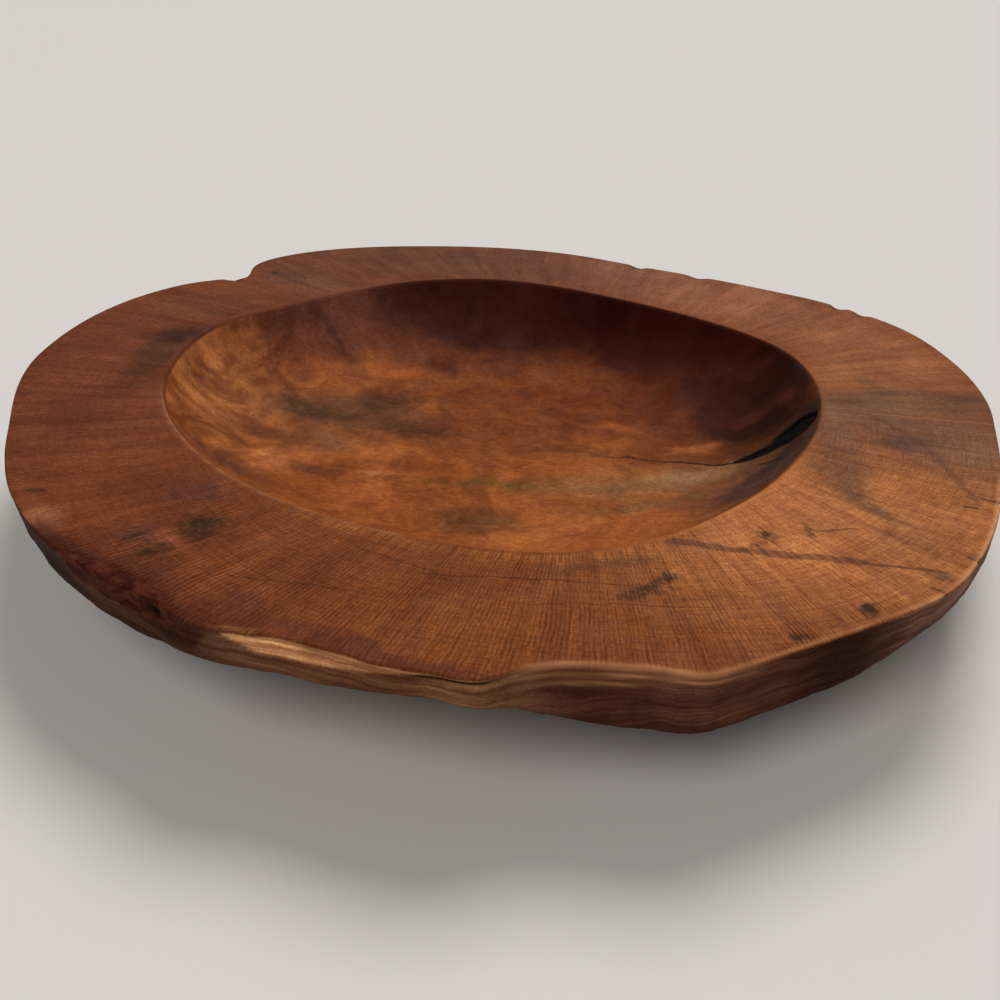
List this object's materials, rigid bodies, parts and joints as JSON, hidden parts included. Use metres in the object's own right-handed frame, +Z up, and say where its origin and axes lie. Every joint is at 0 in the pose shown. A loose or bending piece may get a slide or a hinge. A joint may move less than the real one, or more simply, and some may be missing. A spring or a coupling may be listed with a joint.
{
  "type": "natural edge wooden bowl",
  "caption": "Shallow round bowl carved in a cross-cut slice of trunk, with a broad flat rim whose outer edge keeps the tree's uneven outline; holds fruit or small things on a table.",
  "frame": {"origin": "centre of the flat foot, on the surface that the bowl stands on, below the middle of the hollow", "axes": "+Z up out of the hollow, +X right and +Y away from someone who stands at the pale front edge"},
  "size_m": [0.3634, 0.3617, 0.045],
  "materials": {
    "heartwood": "oiled, satin",
    "bark": "raw, matt",
    "edge_bark": "oiled, satin",
    "knot_wood": "oiled, matt"
  },
  "bodies": {
    "root": {"bowl_body": "heartwood", "bark_seam": "bark", "edge_bark": "edge_bark", "knot_left_inner": "knot_wood", "knot_left_outer": "knot_wood", "knot_front": "knot_wood", "knot_right_inner": "knot_wood", "knot_right_middle": "knot_wood", "knot_right_outer": "knot_wood", "knot_right_edge": "knot_wood", "knot_back": "knot_wood"}
  },
  "joints": []
}
